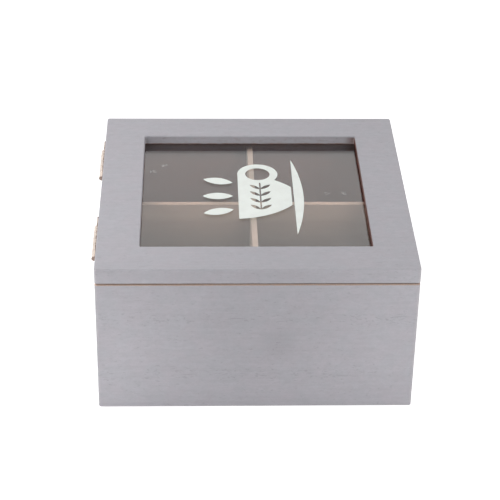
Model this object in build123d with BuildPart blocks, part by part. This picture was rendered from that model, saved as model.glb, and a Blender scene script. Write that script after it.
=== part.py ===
from build123d import *
import os
from math import acos, degrees

# Tea box with a hinged lid: a square box, four compartments, and a glazed lid.
# Millimetres, +Z up, origin at the centre of the underside, on the table.
# The back of the box, with the hinges, faces -X. The front, where the lid is
# lifted, faces +X. Left (-Y) and right (+Y) are as seen from the front.

os.makedirs("parts", exist_ok=True)

# ---------------------------------------------------------------- box
box_length = 170.0          # back to front
box_width = 170.0           # left to right
body_height = 78.8          # table to rim
wall = 8.0                  # wall board
rebate_lip = 3.0            # side wall left standing outside an end wall
corner_round = 1.2          # upright corners, in plan
edge_chamfer = 0.5          # sanded edges at the rim, round the lid and at the table

bottom_thickness = 3.0      # bottom panel
bottom_rebate = 4.0         # reach of the panel under each wall
panel_clearance = 0.2       # round the edge of the panel

# ----------------------------------------------------------- dividers
divider_thickness = 3.0
divider_drop = 1.5          # dividers end this far below the rim
divider_groove = 2.0        # depth of the upright grooves in the walls
groove_clearance = 0.05     # each side of a divider in its groove
divider_end_gap = 0.1       # end of a divider to the groove's floor
lap_clearance = 0.1         # each side of the cross-lap slots

# ---------------------------------------------------------------- lid
lid_thickness = 9.0
lid_gap = 0.5               # rim to the underside of the closed lid
rail_width = 23.0           # board left round the window
window_corner = 1.0         # corners of opening, rebate and glass, cut nearly square
window_chamfer = 0.4        # sanded top edge of the opening
glass_depth = 5.15          # top of the lid to the top of the glass
glass_rebate = 5.0          # hold of the lid round the glass
glass_thickness = 2.0
glass_clearance = 0.5       # round the edge of the glass
bead_width = 4.0            # thin strips that hold the glass up
bead_joint = 0.2            # between the ends of two strips
bead_end_gap = 0.2          # strip to the rounded corner of the rebate

# ------------------------------------------------------ print on glass
print_thickness = 0.15
cup_rim = 50.0              # width of the cup at its rim
cup_foot = 20.0             # width of the cup at its foot
cup_height = 30.0
cup_bulge = 3.5             # how far its sides curve outwards
handle_radius = 11.5        # outside of the round handle
handle_band = 4.5           # width of the handle's ring
handle_drop = 11.5          # rim of the cup to the centre of the handle
saucer_width = 84.0
saucer_height = 5.5
saucer_gap = 1.2            # cup to saucer
steam_leaf = 17.0           # length of the leaves that rise like steam
steam_leaf_width = 7.0
steam_spacing = 15.0
steam_tilt = 14.0           # degrees from one leaf to the next
steam_gap = 3.0             # rim of the cup to the leaves
sprig_length = 30.0         # cut-out sprig across the cup
sprig_stem = 0.9
sprig_leaf = 8.0
sprig_leaf_width = 2.6
sprig_pairs = 4             # pairs of leaves along the stem
sprig_angle = 48.0          # leaves to stem, degrees
sprig_drop = 12.5           # rim of the cup to the stem

# ------------------------------------------------------------- hinges
hinge_inset = 41.5          # side of the box to the middle of a hinge
hinge_length = 30.0         # along the knuckles
knuckle_count = 5
knuckle_gap = 0.12          # between two knuckles
leaf_height = 8.4           # pin axis to the far edge of a leaf
leaf_thickness = 0.7
leaf_corner = 1.8
notch_clearance = 0.3       # leaf to the other leaf's knuckles
seam_gap = 0.15             # open seam where the roll meets its leaf
pin_radius = 0.65
pin_clearance = 0.05        # running clearance of the knuckles
pin_head = 1.0              # thickness of the pin's two heads

# ------------------------------------------------------------- screws
screw_radius = 0.85
screw_length = 6.0          # outer face of the leaf to the screw's end
slot_width = 0.4
slot_depth = 0.35
slot_turn = 35.0            # each screw stopped at another angle, degrees
screw_spacing = 20.0        # between the two screws of a leaf
screw_rise = 5.0            # pin axis to the screws
pilot_clearance = 0.02

# ------------------------------------------------- places worked out
half_length = box_length / 2
half_width = box_width / 2
panel_length = box_length - 2 * wall + 2 * bottom_rebate
panel_width = box_width - 2 * wall + 2 * bottom_rebate

divider_top = body_height - divider_drop
divider_middle = (bottom_thickness + divider_top) / 2
divider_reach_x = half_length - wall + divider_groove - divider_end_gap
divider_reach_y = half_width - wall + divider_groove - divider_end_gap
groove_width = divider_thickness + 2 * groove_clearance
lap_slot = divider_thickness + 2 * lap_clearance

lid_bottom = body_height + lid_gap
lid_top = lid_bottom + lid_thickness
glass_top = lid_top - glass_depth
glass_bottom = glass_top - glass_thickness
window_length = box_length - 2 * rail_width
window_width = box_width - 2 * rail_width
rebate_length = window_length + 2 * glass_rebate
rebate_width = window_width + 2 * glass_rebate

knuckle_radius = pin_radius + pin_clearance + leaf_thickness
pin_x = -half_length - knuckle_radius
pin_z = body_height + lid_gap / 2
knuckle_pitch = hinge_length / knuckle_count
hinge_places = {"left": hinge_inset - half_width, "right": half_width - hinge_inset}
screw_head_radius = screw_radius + leaf_thickness

# The back face of the box and the outer face of the hinge leaves, seen from
# behind: local x runs towards -Y and local y runs up.
back_face = Plane(origin=(-half_length, 0, 0), x_dir=(0, -1, 0), z_dir=(-1, 0, 0))
leaf_face = back_face.offset(leaf_thickness)


def screw_places(hinge_y, up):
    """Both screws of one leaf, on the back face: up is 1 for the lid, -1 for the box."""
    z = pin_z + up * screw_rise
    return [(-hinge_y + side * screw_spacing / 2, z) for side in (-1, 1)]


def all_screw_places(up):
    """The screws of both hinges in the lid (1) or in the box (-1)."""
    return [place for y in hinge_places.values() for place in screw_places(y, up)]


# ------------------------------------------------------------ the body
# The outside of the assembled box, sanded round: each wall is cut to it.
with BuildPart() as body_form:
    with BuildSketch():
        RectangleRounded(box_length, box_width, corner_round)
    extrude(amount=body_height)
    chamfer(body_form.faces().filter_by(Axis.Z).edges(), edge_chamfer)

# Left and right walls run the full length and are rebated for the end walls.
for side, sign in (("left", -1), ("right", 1)):
    with BuildPart() as side_wall:
        with BuildSketch():
            with Locations((0, sign * (half_width - wall / 2))):
                Rectangle(box_length, wall)
            with Locations((0, sign * (half_width - wall))):
                Rectangle(groove_width, 2 * divider_groove, mode=Mode.SUBTRACT)
                with GridLocations(box_length - wall, 0, 2, 1):
                    Rectangle(wall, 2 * (wall - rebate_lip), mode=Mode.SUBTRACT)
        extrude(amount=body_height)
        with BuildSketch():
            Rectangle(panel_length, panel_width)
        extrude(amount=bottom_thickness, mode=Mode.SUBTRACT)
        add(body_form.part, mode=Mode.INTERSECT)
    side_wall.part.label = f"{side}_wall"
    export_step(side_wall.part, f"parts/{side}_wall.step")

# Back and front walls stand in those rebates. The back one takes the hinges.
for end, sign in (("back", -1), ("front", 1)):
    with BuildPart() as end_wall:
        with BuildSketch():
            with Locations((sign * (half_length - wall / 2), 0)):
                Rectangle(wall, box_width - 2 * rebate_lip)
            with Locations((sign * (half_length - wall), 0)):
                Rectangle(2 * divider_groove, groove_width, mode=Mode.SUBTRACT)
        extrude(amount=body_height)
        with BuildSketch():
            Rectangle(panel_length, panel_width)
        extrude(amount=bottom_thickness, mode=Mode.SUBTRACT)
        add(body_form.part, mode=Mode.INTERSECT)
        if end == "back":
            with BuildSketch(back_face):
                with Locations(*all_screw_places(-1)):
                    Circle(screw_radius + pilot_clearance)
            extrude(amount=-screw_length, mode=Mode.SUBTRACT)
    end_wall.part.label = f"{end}_wall"
    export_step(end_wall.part, f"parts/{end}_wall.step")

# Thin bottom panel, let into the walls from below and flush with them.
with BuildPart() as bottom_panel:
    with BuildSketch():
        Rectangle(panel_length - 2 * panel_clearance, panel_width - 2 * panel_clearance)
    extrude(amount=bottom_thickness)
bottom_panel.part.label = "bottom_panel"
export_step(bottom_panel.part, "parts/bottom_panel.step")

# Two crossed dividers, halved together: the lengthways one is slotted from
# above, the crossways one from below.
with BuildPart() as lengthways_divider:
    with BuildSketch(Plane.XY.offset(bottom_thickness)):
        Rectangle(2 * divider_reach_x, divider_thickness)
    extrude(amount=divider_top - bottom_thickness)
    with BuildSketch(Plane.XY.offset(divider_middle)):
        Rectangle(lap_slot, 2 * divider_thickness)
    extrude(amount=divider_top - divider_middle, mode=Mode.SUBTRACT)
lengthways_divider.part.label = "lengthways_divider"
export_step(lengthways_divider.part, "parts/lengthways_divider.step")

with BuildPart() as crossways_divider:
    with BuildSketch(Plane.XY.offset(bottom_thickness)):
        Rectangle(divider_thickness, 2 * divider_reach_y)
    extrude(amount=divider_top - bottom_thickness)
    with BuildSketch(Plane.XY.offset(bottom_thickness)):
        Rectangle(2 * divider_thickness, lap_slot)
    extrude(amount=divider_middle - bottom_thickness, mode=Mode.SUBTRACT)
crossways_divider.part.label = "crossways_divider"
export_step(crossways_divider.part, "parts/crossways_divider.step")

# ------------------------------------------------------------- the lid
# One board, routed through for the window and rebated below for the glass.
with BuildPart() as lid_board:
    with BuildSketch(Plane.XY.offset(lid_bottom)):
        RectangleRounded(box_length, box_width, corner_round)
    extrude(amount=lid_thickness)
    chamfer(lid_board.faces().filter_by(Axis.Z).edges(), edge_chamfer)
    with BuildSketch(Plane.XY.offset(lid_bottom)):
        RectangleRounded(window_length, window_width, window_corner)
    extrude(amount=lid_thickness, mode=Mode.SUBTRACT)
    opening_edges = lid_board.faces().sort_by(Axis.Z)[-1].inner_wires()[0].edges()
    chamfer(opening_edges, window_chamfer)
    with BuildSketch(Plane.XY.offset(lid_bottom)):
        RectangleRounded(rebate_length, rebate_width, window_corner)
    extrude(amount=glass_top - lid_bottom, mode=Mode.SUBTRACT)
    with BuildSketch(back_face):
        with Locations(*all_screw_places(1)):
            Circle(screw_radius + pilot_clearance)
    extrude(amount=-screw_length, mode=Mode.SUBTRACT)
lid_board.part.label = "lid_board"
export_step(lid_board.part, "parts/lid_board.step")

with BuildPart() as window_glass:
    with BuildSketch(Plane.XY.offset(glass_bottom)):
        RectangleRounded(
            rebate_length - 2 * glass_clearance,
            rebate_width - 2 * glass_clearance,
            window_corner,
        )
    extrude(amount=glass_thickness)
window_glass.part.label = "window_glass"
export_step(window_glass.part, "parts/window_glass.step")

# Glazing strips under the glass, hidden behind the edge of the window. The
# left and right ones stop at the rounded corners, the others between them.
for side, sign in (("left", -1), ("right", 1)):
    with BuildPart() as side_strip:
        with BuildSketch(Plane.XY.offset(lid_bottom)):
            with Locations((0, sign * (rebate_width - bead_width) / 2)):
                Rectangle(rebate_length - 2 * (window_corner + bead_end_gap), bead_width)
        extrude(amount=glass_bottom - lid_bottom)
    side_strip.part.label = f"{side}_glazing_strip"
    export_step(side_strip.part, f"parts/{side}_glazing_strip.step")

for end, sign in (("back", -1), ("front", 1)):
    with BuildPart() as end_strip:
        with BuildSketch(Plane.XY.offset(lid_bottom)):
            with Locations((sign * (rebate_length - bead_width) / 2, 0)):
                Rectangle(bead_width, rebate_width - 2 * (bead_width + bead_joint))
        extrude(amount=glass_bottom - lid_bottom)
    end_strip.part.label = f"{end}_glazing_strip"
    export_step(end_strip.part, f"parts/{end}_glazing_strip.step")

# ------------------------------------------- white print on the glass
# A cup on its saucer, leaves above it, and a sprig left clear in the cup. It
# reads from the front, so its local x is +Y and its local y is -X.
print_height = saucer_height + saucer_gap + cup_height + steam_gap + steam_leaf
cup_base = -print_height / 2 + saucer_height + saucer_gap
rim_line = cup_base + cup_height
print_plane = Plane(origin=(0, 0, glass_top), x_dir=(0, 1, 0), z_dir=(0, 0, 1))


def leaf_shape(length, width):
    """A pointed leaf: two equal arcs between its tips, with its stalk at the origin."""
    with BuildSketch() as leaf:
        with BuildLine():
            ThreePointArc((0, 0), (-width / 2, length / 2), (0, length))
            ThreePointArc((0, length), (width / 2, length / 2), (0, 0))
        make_face()
    return leaf.sketch


steam_shape = leaf_shape(steam_leaf, steam_leaf_width)
sprig_shape = leaf_shape(sprig_leaf, sprig_leaf_width)

with BuildPart() as glass_print:
    with BuildSketch(print_plane):
        with BuildLine():
            rim = Line((-cup_rim / 2, rim_line), (cup_rim / 2, rim_line))
            right_side = SagittaArc(rim @ 1, (cup_foot / 2, cup_base), cup_bulge)
            foot = Line(right_side @ 1, (-cup_foot / 2, cup_base))
            SagittaArc(foot @ 1, rim @ 0, cup_bulge)
        make_face()
        with Locations((cup_rim / 2, rim_line - handle_drop)):
            Circle(handle_radius)
        with Locations((cup_rim / 2, rim_line - handle_drop)):
            Circle(handle_radius - handle_band, mode=Mode.SUBTRACT)
        with Locations((0, rim_line - sprig_drop)):
            Rectangle(sprig_length, sprig_stem, mode=Mode.SUBTRACT)
        for index in range(sprig_pairs):
            stalk = (sprig_length * (index / sprig_pairs - 0.5), rim_line - sprig_drop)
            for lean in (sprig_angle, -sprig_angle):
                with Locations(Location(stalk, lean - 90)):
                    add(sprig_shape, mode=Mode.SUBTRACT)
        with BuildLine():
            saucer_top = Line(
                (-saucer_width / 2, cup_base - saucer_gap),
                (saucer_width / 2, cup_base - saucer_gap),
            )
            SagittaArc(saucer_top @ 1, saucer_top @ 0, saucer_height)
        make_face()
        for place in (-1, 0, 1):
            foot_point = (place * steam_spacing, rim_line + steam_gap)
            with Locations(Location(foot_point, -place * steam_tilt)):
                add(steam_shape)
    extrude(amount=print_thickness)
glass_print.part.label = "glass_print"
export_step(glass_print.part, "parts/glass_print.step")

# ---------------------------------------------------------- the hinges
# Each leaf is one strip of sheet, rolled into knuckles round the pin. The box
# leaf keeps the odd knuckles, with both ends, and the lid leaf those between.
roll_end = 360 - degrees(acos((knuckle_radius - leaf_thickness - seam_gap) / knuckle_radius))

for side, hinge_y in hinge_places.items():
    for owner, up in (("box", -1), ("lid", 1)):
        with BuildPart() as leaf:
            with BuildSketch(Plane.XZ.offset(-hinge_y)):
                with BuildLine():
                    back = Line(
                        (pin_x + knuckle_radius, pin_z + up * leaf_height),
                        (pin_x + knuckle_radius, pin_z),
                    )
                    outer = CenterArc((pin_x, pin_z), knuckle_radius, 0, -up * roll_end)
                    inner = CenterArc(
                        (pin_x, pin_z), knuckle_radius - leaf_thickness, 0, -up * roll_end
                    )
                    Line(outer @ 1, inner @ 1)
                    front = Line(inner @ 0, inner @ 0 + (0, up * leaf_height))
                    Line(front @ 1, back @ 0)
                make_face()
            extrude(amount=hinge_length / 2, both=True)
            far_edge = leaf.edges().filter_by(Axis.X).group_by(Axis.Z)[0 if up < 0 else -1]
            fillet(far_edge, leaf_corner)
            first_notch = 1 if owner == "box" else 0
            for index in range(first_notch, knuckle_count, 2):
                notch_y = hinge_y + (index + 0.5) * knuckle_pitch - hinge_length / 2
                with Locations((pin_x, notch_y, pin_z)):
                    Box(
                        2 * (knuckle_radius + notch_clearance),
                        knuckle_pitch + knuckle_gap,
                        2 * (knuckle_radius + notch_clearance),
                        mode=Mode.SUBTRACT,
                    )
            with BuildSketch(leaf_face):
                with Locations(*screw_places(hinge_y, up)):
                    Circle(screw_head_radius)
            extrude(amount=-leaf_thickness, taper=45, mode=Mode.SUBTRACT)
        leaf.part.label = f"{side}_hinge_{owner}_leaf"
        export_step(leaf.part, f"parts/{side}_hinge_{owner}_leaf.step")

    # The pin has a head at each end, the size of the knuckles.
    with BuildPart() as pin:
        with BuildSketch(Plane.XZ.offset(-hinge_y)):
            with Locations((pin_x, pin_z)):
                Circle(pin_radius)
        extrude(amount=hinge_length / 2, both=True)
        for end in (-1, 1):
            with BuildSketch(Plane.XZ.offset(-hinge_y - end * hinge_length / 2)):
                with Locations((pin_x, pin_z)):
                    Circle(knuckle_radius)
            extrude(amount=-end * pin_head)
    pin.part.label = f"{side}_hinge_pin"
    export_step(pin.part, f"parts/{side}_hinge_pin.step")

# Slotted countersunk screws, four in the box and four in the lid. Their heads
# fill the leaves' countersinks and stop at different angles.
for owner, up in (("box", -1), ("lid", 1)):
    with BuildPart() as screws:
        for index, place in enumerate(all_screw_places(up)):
            with BuildSketch(leaf_face):
                with Locations(place):
                    Circle(screw_radius)
            extrude(amount=-screw_length)
            with BuildSketch(leaf_face):
                with Locations(place):
                    Circle(screw_head_radius)
            extrude(amount=-leaf_thickness, taper=45)
            with BuildSketch(leaf_face):
                with Locations(Location(place, index * slot_turn)):
                    Rectangle(2 * screw_head_radius, slot_width)
            extrude(amount=-slot_depth, mode=Mode.SUBTRACT)
    screws.part.label = f"{owner}_hinge_screws"
    export_step(screws.part, f"parts/{owner}_hinge_screws.step")
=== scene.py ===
import math

import bpy
from mathutils import Matrix, Vector


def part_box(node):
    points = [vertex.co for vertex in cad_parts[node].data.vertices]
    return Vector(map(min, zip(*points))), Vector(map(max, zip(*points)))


# The looks of a tea box with a hinged, glazed lid. Metres, +Z up, the box's
# underside at z = 0, its hinges on the -X side. The photograph looks along +Y.

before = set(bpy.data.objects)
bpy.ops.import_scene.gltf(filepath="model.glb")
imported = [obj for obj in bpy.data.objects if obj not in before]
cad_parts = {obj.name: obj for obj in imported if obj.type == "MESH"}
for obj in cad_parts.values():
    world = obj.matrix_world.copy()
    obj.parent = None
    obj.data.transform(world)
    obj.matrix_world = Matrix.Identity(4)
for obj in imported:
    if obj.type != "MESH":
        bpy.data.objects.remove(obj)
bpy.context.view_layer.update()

MM = 0.001

# ------------------------------------------------ places read from the frame
# Each box is a low and a high corner.
lid_low, lid_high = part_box("lid_board")
HALF_SIDE = lid_high[0]
LID_TOP = lid_high[2]
LID_UNDER = lid_low[2]
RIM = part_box("left_wall")[1][2]         # top of the walls
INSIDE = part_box("front_wall")[0][0]     # inner face of the front wall
GLASS_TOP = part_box("window_glass")[1][2]
LID_RAIL = 23 * MM                      # board left round the window
WINDOW = HALF_SIDE - LID_RAIL           # edge of the window

# ------------------------------------- places of marks, read from the photograph
STAIN_PLACE = (0.0115, -0.085, 0.0420)   # a small darker spot in the paint of the near side
STAIN_RADIUS = 13 * MM
FACE_SHADE_PLACE = (0.0, -0.085, 0.055)       # painted shade: a wide, faint darkening about it, in the middle of the near side
FACE_SHADE_RADIUS = 70 * MM
PORE_ROWS = (58 * MM, 22 * MM)           # heights where the board's pores show through more
PORE_ROW_REACH = 5.5 * MM                # half the width of such a row
CHAFED_CORNER = (WINDOW, WINDOW, GLASS_TOP + 2.5 * MM)   # bare corner of the window's recess
CHAFED_RADIUS = 7 * MM
WOOD_SHADE_START = 74 * MM                     # painted shade darkens the wood in the box from here down
WOOD_SHADE_FULL = 48 * MM                      # and is fullest from here down
# Smudges on the glass: the middle along X and along Y and the length, in millimetres.
SMUDGES = ((-57, 29, 7), (-50, 36, 4), (42, 3.5, 5), (51, 3.7, 5), (45.5, -41.7, 2.5))
SMUDGE_REACH = 1.1 * MM                  # half the width of a smudge


def rgb(red, green, blue):
    """A full, opaque colour."""
    return (red, green, blue, 1.0)


# ----------------------------------------------------------------- colours
PAINT = rgb(0.425, 0.417, 0.450)
PAINT_WARM = rgb(0.432, 0.414, 0.448)    # patches that lean to red
PAINT_PORE = rgb(0.30, 0.29, 0.32)       # paint over an open pore
PAINT_RUBBED = rgb(0.54, 0.52, 0.53)     # paint worn thin on an edge
RAW_EDGE = rgb(0.60, 0.45, 0.37)         # sanded rim of the walls
RAW_BORDER = rgb(0.20, 0.115, 0.085)     # border of the lid's underside
RAW_INSIDE = rgb(0.20, 0.070, 0.050)     # inner faces of the walls and the lid
RAW_SHADOW = rgb(0.085, 0.034, 0.026)    # painted shadow of the lid on the inner faces just under the rim
RECESS_SIDE = rgb(0.34, 0.25, 0.235)     # walls of the recess above the glass
RECESS_DARK = rgb(0.22, 0.145, 0.13)     # darker grain in them
RECESS_BROWN = rgb(0.11, 0.040, 0.032)   # foot of the wall that faces left
# Woods, hardboard and ink each have a light and a dark shade.
LENGTHWAYS_WOOD = (rgb(0.40, 0.26, 0.20), rgb(0.33, 0.20, 0.15))
CROSSWAYS_WOOD = (rgb(0.40, 0.285, 0.235), rgb(0.33, 0.23, 0.185))
STAINED_WOOD = (rgb(0.07, 0.038, 0.03), rgb(0.045, 0.024, 0.02))
HARDBOARD = (rgb(0.12, 0.06, 0.045), rgb(0.07, 0.035, 0.026))
INK = (rgb(0.89, 0.93, 0.89), rgb(0.84, 0.87, 0.83))
INK_BACK_SHADED = rgb(0.46, 0.50, 0.47)         # painted shade: the print's darker face on the glass, seen with the lid open
GLASS = rgb(0.97, 0.985, 0.975)
GLASS_SHADOW = rgb(0.86, 0.88, 0.87)     # what each face of the glass lets through of a lamp
DUST = rgb(0.85, 0.85, 0.83)
BRASS = rgb(0.86, 0.75, 0.67)
# brown of tarnish, also painted shade on the hinges' cut ends and next to the wood
BROWN_TARNISH_AND_SHADE = rgb(0.16, 0.095, 0.07)
WHITE = rgb(1, 1, 1)
TABLE_WHITE = rgb(0.88, 0.88, 0.88)


# ------------------------------------------------------------ node helpers
class Graph:
    """A material whose nodes are written as nested calls."""

    def __init__(self, name):
        self.material = bpy.data.materials.new(name)
        self.material.use_nodes = True
        self.tree = self.material.node_tree
        self.tree.nodes.clear()
        coordinates = self.node("ShaderNodeTexCoord")
        self.place = coordinates.outputs["Object"]
        self.x, self.y, self.z = self.split(self.place)
        self.facing_x, self.facing_y, self.facing_z = self.split(coordinates.outputs["Normal"])

    def node(self, kind, settings=None, **inputs):
        """A new node, with its settings and its inputs: a socket is linked, the rest is set."""
        made = self.tree.nodes.new(kind)
        for key, value in (settings or {}).items():
            setattr(made, key, value)
        for key, value in inputs.items():
            self.feed(made.inputs[key.replace("_", " ")], value)
        return made

    def feed(self, socket, value):
        if isinstance(value, bpy.types.NodeSocket):
            self.tree.links.new(value, socket)
        else:
            socket.default_value = value

    def split(self, vector):
        parts = self.node("ShaderNodeSeparateXYZ", Vector=vector)
        return [parts.outputs[axis] for axis in "XYZ"]

    def math(self, operation, *values):
        made = self.node("ShaderNodeMath", {"operation": operation})
        for socket, value in zip(made.inputs, values):
            self.feed(socket, value)
        return made.outputs[0]

    def plus(self, first, second):
        return self.math("ADD", first, second)

    def minus(self, first, second):
        return self.math("SUBTRACT", first, second)

    def times(self, first, second):
        return self.math("MULTIPLY", first, second)

    def times_plus(self, value, factor, added):
        return self.math("MULTIPLY_ADD", value, factor, added)

    def absolute(self, value):
        return self.math("ABSOLUTE", value)

    def most(self, first, *others):
        """The largest of some values."""
        for other in others:
            first = self.math("MAXIMUM", first, other)
        return first

    def step(self, value, low, high):
        """0 below low, 1 above high, smooth between. low may be above high."""
        made = self.node("ShaderNodeMapRange", {"interpolation_type": "SMOOTHSTEP"})
        for name, number in (("Value", value), ("From Min", low), ("From Max", high)):
            self.feed(made.inputs[name], number)
        return made.outputs["Result"]

    def distance(self, point):
        """How far the surface is from a point."""
        made = self.node("ShaderNodeVectorMath", {"operation": "DISTANCE"})
        self.feed(made.inputs[0], self.place)
        self.feed(made.inputs[1], point)
        return made.outputs["Value"]

    def noise(self, place, scale=1.0, detail=3.0, rough=0.5, twist=0.0):
        made = self.node(
            "ShaderNodeTexNoise",
            Vector=place,
            Scale=scale,
            Detail=detail,
            Roughness=rough,
            Distortion=twist,
        )
        return made.outputs["Fac"]

    def grain(self, along, length, across, **noise):
        """Noise in marks of one length along X or Y and of one width."""
        scales = [1 / across, 1 / across, 1 / across]
        scales["XY".index(along)] = 1 / length
        stretched = self.node("ShaderNodeMapping", Vector=self.place, Scale=scales)
        return self.noise(stretched.outputs[0], **noise)

    def mix(self, share, first, second):
        """Colour: first where share is 0, second where it is 1."""
        made = self.node("ShaderNodeMix", {"data_type": "RGBA"})
        self.feed(made.inputs[0], share)
        self.feed(made.inputs[6], first)
        self.feed(made.inputs[7], second)
        return made.outputs[2]

    def shade(self, colour, amount):
        """Colour times a grey amount."""
        made = self.node("ShaderNodeVectorMath", {"operation": "SCALE"})
        self.feed(made.inputs[0], colour)
        self.feed(made.inputs["Scale"], amount)
        return made.outputs[0]

    def bump(self, height, distance, strength):
        made = self.node("ShaderNodeBump", Height=height, Distance=distance, Strength=strength)
        return made.outputs["Normal"]

    def principled(self, **inputs):
        return self.node("ShaderNodeBsdfPrincipled", **inputs).outputs[0]

    def blend(self, share, first, second):
        """Shader: first where share is 0, second where it is 1."""
        made = self.node("ShaderNodeMixShader")
        for socket, value in zip(made.inputs, (share, first, second)):
            self.feed(socket, value)
        return made.outputs[0]

    def lit_through(self, surface, tint):
        """The surface as it is, but lamps shine through it and take its tint."""
        path = self.node("ShaderNodeLightPath")
        through = self.node("ShaderNodeBsdfTransparent", Color=tint)
        return self.blend(path.outputs["Is Shadow Ray"], surface, through.outputs[0])

    def output(self, shader):
        self.node("ShaderNodeOutputMaterial", Surface=shader)
        return self.material


def reach_out(graph):
    """How far a point is from the middle of the box, along X or Y, whichever is more."""
    return graph.most(graph.absolute(graph.x), graph.absolute(graph.y))


def uneven(graph, value, amount, middle=0.5):
    """1 plus amount times how far value is above middle."""
    return graph.times_plus(graph.minus(value, middle), amount, 1.0)


# ------------------------------------------------------------ painted board
def rubbed_edges(graph):
    """Share of paint rubbed thin at the upright corners, the table edge and the lid's top edge."""
    outer = graph.step(reach_out(graph), HALF_SIDE - 0.9 * MM, HALF_SIDE - 0.3 * MM)
    nearer = graph.math("MINIMUM", graph.absolute(graph.x), graph.absolute(graph.y))
    corner = graph.step(nearer, HALF_SIDE - 1.5 * MM, HALF_SIDE - 0.6 * MM)
    low = graph.times(graph.step(graph.z, 1.3 * MM, 0.5 * MM), 0.8)
    high = graph.times(graph.step(graph.z, LID_TOP - 0.6 * MM, LID_TOP), 0.35)
    edge = graph.most(graph.times(outer, graph.most(low, high)), corner)
    patchy = graph.step(graph.noise(graph.place, 300.0, detail=4.0), 0.35, 0.65)
    return graph.times(edge, patchy)


def pore_rows(graph, wander):
    """1 at the heights of the pore rows, 0 away from them. wander bends the rows."""
    height = graph.times_plus(graph.minus(wander, 0.5), 12 * MM, graph.z)
    return graph.most(*(
        graph.step(graph.absolute(graph.minus(height, row)), PORE_ROW_REACH, 1.5 * MM)
        for row in PORE_ROWS
    ))


def pores(graph, along, clouds):
    """Share of pores that show through the paint, in short flecks and longer marks."""
    crowd = graph.times_plus(pore_rows(graph, clouds), 0.055, graph.times(clouds, 0.12))
    flecks = graph.grain(along, 2.6 * MM, 0.9 * MM, detail=2.0, rough=0.6, twist=0.5)
    marks = graph.grain(along, 6.0 * MM, 1.1 * MM, detail=2.0)
    return graph.most(
        graph.step(graph.plus(flecks, crowd), 0.68, 0.80),
        graph.step(graph.plus(marks, crowd), 0.74, 0.84),
    )


def paint_tone(graph, along, clouds, streaks):
    """Factor that makes the paint lighter and darker: streaks, clouds, mottle, a stain and a wide
    painted shade on the near side.
    """
    mottle = graph.grain(along, 5.0 * MM, 2.6 * MM, rough=0.6, twist=0.8)
    fine = graph.noise(graph.place, 1100.0, detail=2.0)
    stain = graph.step(graph.distance(STAIN_PLACE), STAIN_RADIUS, 1 * MM)
    # painted shade: a wide darkening in the middle of the near side
    face_shade = graph.step(graph.distance(FACE_SHADE_PLACE), FACE_SHADE_RADIUS, 5 * MM)
    tone = uneven(graph, streaks, 0.13)
    for value, amount in ((clouds, 0.12), (mottle, 0.20), (fine, 0.10)):
        tone = graph.times(tone, uneven(graph, value, amount))
    for share, amount in ((graph.times(stain, mottle), -0.15), (face_shade, -0.07)):
        tone = graph.times(tone, uneven(graph, share, amount, middle=0.0))
    return tone


def painted_board(name, along, raw_share, raw_colour):
    """Matt lilac-grey paint, thin enough to show the grain. raw_share gives bare places."""
    graph = Graph(name)
    streaks = graph.grain(along, 30 * MM, 1.3 * MM, rough=0.55, twist=0.6)
    clouds = graph.noise(graph.place, 45.0, detail=4.0, rough=0.6)
    tint = graph.noise(graph.place, 110.0, detail=2.0, rough=0.6)
    flecked = pores(graph, along, clouds)
    paint = graph.mix(graph.step(tint, 0.35, 0.65), PAINT, PAINT_WARM)
    paint = graph.mix(graph.times(flecked, 0.5), paint, PAINT_PORE)
    paint = graph.shade(paint, paint_tone(graph, along, clouds, streaks))
    paint = graph.mix(graph.times(rubbed_edges(graph), 0.45), paint, PAINT_RUBBED)
    fibres = graph.noise(graph.place, 1500.0)
    raw = graph.shade(raw_colour(graph), uneven(graph, fibres, 0.5))
    share = raw_share(graph)
    colour = graph.mix(share, paint, raw)
    rough = graph.most(graph.times_plus(clouds, 0.2, 0.42), graph.times(share, 0.85))
    relief = graph.bump(graph.minus(graph.times(streaks, 0.8), flecked), 0.06 * MM, 0.6)
    return graph.output(graph.principled(Base_Color=colour, Roughness=rough, Normal=relief))


def wall_bare(graph):
    """Bare wood on the inner faces, on the rim with its sanded edge, and underneath."""
    inner = graph.step(reach_out(graph), INSIDE + 0.3 * MM, INSIDE + 0.1 * MM)
    ragged = graph.times(graph.noise(graph.place, 500.0), 0.5 * MM)
    rim = graph.step(graph.plus(graph.z, ragged), RIM - 0.30 * MM, RIM - 0.12 * MM)
    under = graph.step(graph.z, 0.05 * MM, 0.02 * MM)
    return graph.most(inner, rim, under)


def wall_bare_colour(graph):
    """Brown inside, darker towards the rim with painted shadow, and light on the rim itself."""
    # painted shadow of the lid on the inner faces under the rim
    painted_rim_shadow = graph.step(graph.z, RIM - 17 * MM, RIM - 8 * MM)
    rim = graph.step(graph.z, RIM - 1.5 * MM, RIM - 1.0 * MM)
    return graph.mix(rim, graph.mix(painted_rim_shadow, RAW_INSIDE, RAW_SHADOW), RAW_EDGE)


def faces_left(graph):
    """1 on faces that look to the left in the photograph."""
    return graph.step(graph.facing_x, -0.5, -0.9)


def recess_wear(graph):
    """Share of bare wood on the walls of the window's recess, most on the one that faces left, and
    a dark ragged line at their foot where they meet the glass.
    """
    faces_right = graph.times(graph.step(graph.facing_x, 0.5, 0.9), 0.35)
    chafed = graph.times(graph.step(graph.distance(CHAFED_CORNER), CHAFED_RADIUS, 1 * MM), 0.8)
    thin = graph.grain("X", 5 * MM, 2 * MM, rough=0.6)
    thin = graph.times(graph.step(thin, 0.5, 0.7), 0.3)
    worn = graph.most(faces_left(graph), faces_right, chafed, thin)
    below_edge = graph.step(graph.z, LID_TOP - 0.5 * MM, LID_TOP - 1.3 * MM)
    ragged = graph.times(graph.noise(graph.place, 260.0), 1.2 * MM)
    # a dark ragged line at the foot of the walls, where they meet the glass
    foot = graph.step(graph.minus(graph.z, ragged), GLASS_TOP, GLASS_TOP - 0.5 * MM)
    return graph.most(foot, graph.times(worn, below_edge))


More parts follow.
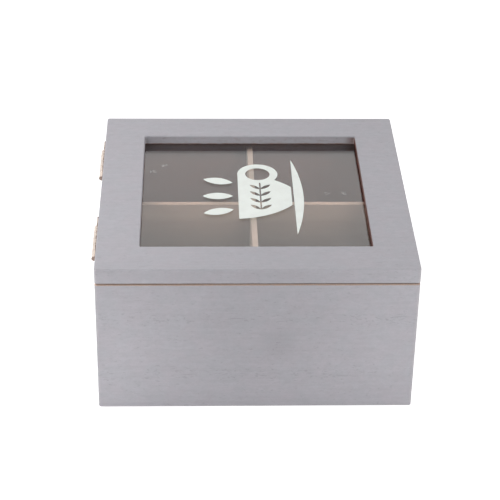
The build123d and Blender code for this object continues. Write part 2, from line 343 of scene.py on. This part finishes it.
def lid_bare(graph):
    """Bare wood under the lid, on its lower edge in places, and worn in the window's recess."""
    flat_under = graph.step(graph.facing_z, -0.8, -0.95)
    lip = graph.step(graph.z, LID_UNDER + 0.32 * MM, LID_UNDER + 0.16 * MM)
    painted = graph.step(graph.grain("X", 9 * MM, 5 * MM, detail=4.0), 0.42, 0.58)
    lip = graph.times(lip, graph.times_plus(painted, -0.7, 1.0))
    reach = reach_out(graph)
    in_window = graph.step(reach, WINDOW + 0.5 * MM, WINDOW + 0.3 * MM)
    below_glass = graph.step(graph.z, GLASS_TOP + 0.05 * MM, GLASS_TOP - 0.05 * MM)
    core = graph.step(reach, INSIDE, INSIDE - 1 * MM)
    return graph.most(
        graph.times(in_window, recess_wear(graph)),
        graph.times(below_glass, core),
        flat_under,
        lip,
    )


def lid_bare_colour(graph):
    """Brown within the lid, paler on its underside's border, pinkish at the window."""
    underside = graph.step(graph.z, LID_UNDER + 1.0 * MM, LID_UNDER + 0.8 * MM)
    border = graph.step(reach_out(graph), INSIDE - 2 * MM, INSIDE)
    colour = graph.mix(graph.times(underside, border), RAW_INSIDE, RAW_BORDER)
    grain = graph.grain("X", 7 * MM, 1.5 * MM, rough=0.6, twist=0.5)
    recess = graph.mix(graph.step(grain, 0.35, 0.65), RECESS_SIDE, RECESS_DARK)
    foot = graph.step(graph.z, LID_TOP - 1.2 * MM, LID_TOP - 2.6 * MM)
    recess = graph.mix(graph.times(faces_left(graph), foot), recess, RECESS_BROWN)
    # dark just above the glass, at the foot of the recess walls
    above = graph.step(graph.z, GLASS_TOP, GLASS_TOP + 0.2 * MM)
    return graph.mix(above, colour, recess)


# ---------------------------------------------------------- other materials
def plain_wood(name, along, shades):
    """Smooth wood, raw or stained, of a light and a dark tone, darker low in the box with painted
    shade.
    """
    light, dark = shades
    graph = Graph(name)
    pore_lines = graph.grain(along, 12 * MM, 0.5 * MM, rough=0.6)
    bands = graph.grain(along, 160 * MM, 11 * MM, detail=2.0, twist=0.6)
    # painted shade: darker low in the box
    painted_depth_shade = graph.step(graph.z, WOOD_SHADE_START, WOOD_SHADE_FULL)
    colour = graph.mix(graph.step(bands, 0.3, 0.75), light, dark)
    colour = graph.shade(colour, uneven(graph, pore_lines, -0.35))
    colour = graph.shade(colour, uneven(graph, painted_depth_shade, -0.4, middle=0.0))
    relief = graph.bump(pore_lines, 0.03 * MM, 0.4)
    return graph.output(graph.principled(Base_Color=colour, Roughness=0.72, Normal=relief))


def fibreboard(name):
    """Smooth brown hardboard of the bottom, mottled with darker fibres."""
    light, dark = HARDBOARD
    graph = Graph(name)
    mottle = graph.noise(graph.place, 260.0, detail=6.0, rough=0.7)
    blotch = graph.noise(graph.place, 22.0, detail=2.0)
    colour = graph.mix(graph.step(mottle, 0.35, 0.72), light, dark)
    colour = graph.shade(colour, uneven(graph, blotch, 0.3))
    rough = graph.times_plus(mottle, 0.25, 0.5)
    relief = graph.bump(mottle, 0.04 * MM, 0.4)
    return graph.output(graph.principled(Base_Color=colour, Roughness=rough, Normal=relief))


def smudged(graph):
    """1 on the smudges of the glass, each an ellipse that lies along X."""
    spots = []
    for across, along, length in SMUDGES:
        aside = graph.math("DIVIDE", graph.minus(graph.x, across * MM), length * MM / 2)
        ahead = graph.math("DIVIDE", graph.minus(graph.y, along * MM), SMUDGE_REACH)
        gap = graph.plus(graph.times(aside, aside), graph.times(ahead, ahead))
        spots.append(graph.step(gap, 1.3, 0.3))
    return graph.most(*spots)


def clear_glass(name):
    """Sheet glass that lets the lamps through, with faint dust and a few smudges."""
    graph = Graph(name)
    dust = graph.step(graph.noise(graph.place, 700.0, detail=5.0, rough=0.75), 0.62, 0.8)
    specks = graph.step(graph.noise(graph.place, 950.0, detail=2.0, rough=0.6), 0.50, 0.62)
    smudges = graph.times(graph.times(smudged(graph), specks), 0.30)
    film = graph.most(smudges, graph.times(dust, 0.04))
    glass = graph.principled(Base_Color=GLASS, Roughness=0.0, IOR=1.5, Transmission_Weight=1.0)
    haze = graph.principled(Base_Color=DUST, Roughness=0.8)
    return graph.output(graph.lit_through(graph.blend(film, glass, haze), GLASS_SHADOW))


def white_print(name):
    """Opaque greenish-white ink, a little uneven, that casts no shadow into the box; its face on
    the glass is darkened with painted shade.
    """
    light, dark = INK
    graph = Graph(name)
    cover = graph.noise(graph.place, 160.0, detail=4.0, rough=0.6)
    grit = graph.noise(graph.place, 1400.0, detail=2.0)
    colour = graph.mix(graph.step(cover, 0.3, 0.75), light, dark)
    # painted shade on the print's face on the glass
    colour = graph.mix(graph.step(graph.facing_z, -0.5, -0.9), colour, INK_BACK_SHADED)
    rough = graph.times_plus(grit, 0.2, 0.4)
    relief = graph.bump(grit, 0.02 * MM, 0.4)
    ink = graph.principled(Base_Color=colour, Roughness=rough, Normal=relief)
    return graph.output(graph.lit_through(ink, WHITE))


def hinge_metal(name, tarnish):
    """Pale brass, tarnished brown in patches, by tarnish at least; painted shade darkens its cut
    ends, and painted shade with tarnish the strip next to the wood.
    """
    graph = Graph(name)
    patches = graph.noise(graph.place, 230.0, detail=4.0, rough=0.6)
    spots = graph.noise(graph.place, 420.0, detail=5.0, rough=0.65)
    scratch = graph.grain("Y", 8 * MM, 0.3 * MM)
    # painted shade of the gap next to the wood, broken up by tarnish spots
    gap_shade_and_tarnish = graph.step(graph.x, -HALF_SIDE - 1.3 * MM, -HALF_SIDE - 0.3 * MM)
    gap_shade_and_tarnish = graph.times(gap_shade_and_tarnish, graph.times_plus(graph.step(spots, 0.42, 0.60), 0.45, 0.42))
    gap_shade_and_tarnish = graph.times(gap_shade_and_tarnish, graph.step(graph.facing_x, -0.95, -0.8))
    # painted shade on the cut ends
    end_shade = graph.times(graph.step(graph.absolute(graph.facing_y), 0.5, 0.9), 0.78)
    patchy = graph.times_plus(graph.step(patches, 0.35, 0.75), 0.16, tarnish)
    tarnish_and_shade_share = graph.most(patchy, gap_shade_and_tarnish, end_shade)
    rough = graph.times_plus(scratch, 0.12, graph.times_plus(tarnish_and_shade_share, 0.25, 0.2))
    relief = graph.bump(scratch, 0.01 * MM, 0.5)
    colour = graph.mix(tarnish_and_shade_share, BRASS, BROWN_TARNISH_AND_SHADE)
    shader = graph.principled(Base_Color=colour, Metallic=1.0, Roughness=rough, Normal=relief)
    return graph.output(shader)


# ------------------------------------------------------------ dressed pieces
def dress(material, *nodes):
    """Puts a material on every slot of some CAD nodes."""
    for node in nodes:
        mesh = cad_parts[node].data
        if not mesh.materials:
            mesh.materials.append(material)
        for index in range(len(mesh.materials)):
            mesh.materials[index] = material


dress(painted_board("paint_lid", "X", lid_bare, lid_bare_colour), "lid_board")
dress(painted_board("paint_sides", "X", wall_bare, wall_bare_colour), "left_wall", "right_wall")
dress(painted_board("paint_ends", "Y", wall_bare, wall_bare_colour), "back_wall", "front_wall")
dress(plain_wood("wood_lengthways", "X", LENGTHWAYS_WOOD), "lengthways_divider")
dress(plain_wood("wood_crossways", "Y", CROSSWAYS_WOOD), "crossways_divider")
dress(plain_wood("stain_along_x", "X", STAINED_WOOD), "left_glazing_strip", "right_glazing_strip")
dress(plain_wood("stain_along_y", "Y", STAINED_WOOD), "back_glazing_strip", "front_glazing_strip")
dress(fibreboard("bottom_hardboard"), "bottom_panel")
dress(clear_glass("sheet_glass"), "window_glass")
dress(white_print("print_ink"), "glass_print")
dress(
    hinge_metal("hinge_brass", tarnish=0.03),
    *(f"{side}_hinge_{owner}_leaf" for side in ("left", "right") for owner in ("box", "lid")),
    "left_hinge_pin",
    "right_hinge_pin",
)
dress(hinge_metal("screw_brass", tarnish=0.5), "box_hinge_screws", "lid_hinge_screws")


# ------------------------------------------------------------------- stage
TABLE_REACH = 4.0      # from the box to the table's edges
TABLE_GLOW = 0.62      # added where the table is seen, so that it reaches white
AMBIENT_LIGHT = 0.385  # light that the white surroundings give


def seen_rays(tree):
    """1 for rays of the camera, of mirrors and of glass, 0 for those that carry light."""
    path = tree.nodes.new("ShaderNodeLightPath")
    seen = path.outputs["Is Camera Ray"]
    for kind in ("Is Glossy Ray", "Is Transmission Ray"):
        either = tree.nodes.new("ShaderNodeMath")
        either.operation = "MAXIMUM"
        tree.links.new(seen, either.inputs[0])
        tree.links.new(path.outputs[kind], either.inputs[1])
        seen = either.outputs[0]
    return seen


def white_floor():
    """A white table that keeps a soft shadow of the box and ends far out of view."""
    graph = Graph("white_table")
    surface = graph.principled(Base_Color=TABLE_WHITE, Roughness=0.9)
    strength = graph.times(seen_rays(graph.tree), TABLE_GLOW)
    glow = graph.node("ShaderNodeEmission", Color=WHITE, Strength=strength)
    both = graph.node("ShaderNodeAddShader")
    graph.feed(both.inputs[0], surface)
    graph.feed(both.inputs[1], glow.outputs[0])
    far = TABLE_REACH
    corners = [(-far, -far, 0), (far, -far, 0), (far, far, 0), (-far, far, 0)]
    mesh = bpy.data.meshes.new("table")
    mesh.from_pydata(corners, [], [(0, 1, 2, 3)])
    mesh.materials.append(graph.output(both.outputs[0]))
    table = bpy.data.objects.new("table", mesh)
    bpy.context.scene.collection.objects.link(table)


def white_surroundings(level):
    """White to the eye, in reflections and through glass; level is the light that it gives."""
    world = bpy.data.worlds.new("surroundings")
    bpy.context.scene.world = world
    world.use_nodes = True
    tree = world.node_tree
    tree.nodes.clear()
    strength = tree.nodes.new("ShaderNodeMapRange")
    strength.inputs["To Min"].default_value = level
    strength.inputs["To Max"].default_value = 1.0
    tree.links.new(seen_rays(tree), strength.inputs["Value"])
    background = tree.nodes.new("ShaderNodeBackground")
    background.inputs["Color"].default_value = WHITE
    tree.links.new(strength.outputs["Result"], background.inputs["Strength"])
    output = tree.nodes.new("ShaderNodeOutputWorld")
    tree.links.new(background.outputs[0], output.inputs["Surface"])


def softbox(name, place, size, power, aim=(0, 0, 0.05), mirrored=False):
    """A square lamp at place that faces aim. Glass, metal and paint mirror it only if mirrored."""
    lamp = bpy.data.lights.new(name, "AREA")
    lamp.size = size
    lamp.energy = power
    holder = bpy.data.objects.new(name, lamp)
    holder.location = place
    holder.rotation_euler = (Vector(aim) - Vector(place)).to_track_quat("-Z", "Y").to_euler()
    holder.visible_camera = False
    holder.visible_glossy = mirrored
    bpy.context.scene.collection.objects.link(holder)


white_floor()
white_surroundings(AMBIENT_LIGHT)
softbox("softbox_left", (-0.34, -0.02, 0.38), size=0.25, power=1.10)
softbox("softbox_right", (0.34, -0.02, 0.38), size=0.25, power=0.38)
softbox("softbox_front", (0.30, -0.80, 0.60), size=0.3, power=1.2)
softbox("softbox_back", (0.03, 1.10, 0.74), size=0.9, power=0.45, mirrored=True)
softbox("softbox_low_left", (-0.13, -0.22, 0.04), size=0.08, power=0.062, aim=(-0.13, 0, 0.04))
softbox("softbox_low_right", (0.13, -0.22, 0.04), size=0.08, power=0.056, aim=(0.13, 0, 0.04))

# ------------------------------------------------------------------ camera
# The photograph's camera, fitted to eight corners of the box.
FOCAL_PIXELS = 1696.26
IMAGE_PIXELS = 500
SENSOR_WIDTH = 36.0                  # millimetres, like the lens
CAMERA_PLACE = Vector((-32.805, -825.40, 558.66)) * MM
CAMERA_DOWN = math.radians(31.749)   # below level
CAMERA_TURN = math.radians(2.1924)   # to the right of +Y
CAMERA_ROLL = math.radians(-1.0663)


def photograph_camera():
    """The scene's camera, from the fitted place, turns and focal length."""
    lens = bpy.data.cameras.new("photograph")
    lens.sensor_width = SENSOR_WIDTH
    lens.lens = FOCAL_PIXELS * SENSOR_WIDTH / IMAGE_PIXELS
    forward = Vector((
        math.sin(CAMERA_TURN) * math.cos(CAMERA_DOWN),
        math.cos(CAMERA_TURN) * math.cos(CAMERA_DOWN),
        -math.sin(CAMERA_DOWN),
    ))
    level = Vector((math.cos(CAMERA_TURN), -math.sin(CAMERA_TURN), 0))
    rise = level.cross(forward)
    right = math.cos(CAMERA_ROLL) * level - math.sin(CAMERA_ROLL) * rise
    up = math.sin(CAMERA_ROLL) * level + math.cos(CAMERA_ROLL) * rise
    camera = bpy.data.objects.new("photograph", lens)
    turn = Matrix((right, up, -forward)).transposed().to_4x4()
    camera.matrix_world = Matrix.Translation(CAMERA_PLACE) @ turn
    bpy.context.scene.collection.objects.link(camera)
    bpy.context.scene.camera = camera


photograph_camera()
bpy.context.scene.view_settings.view_transform = "Standard"
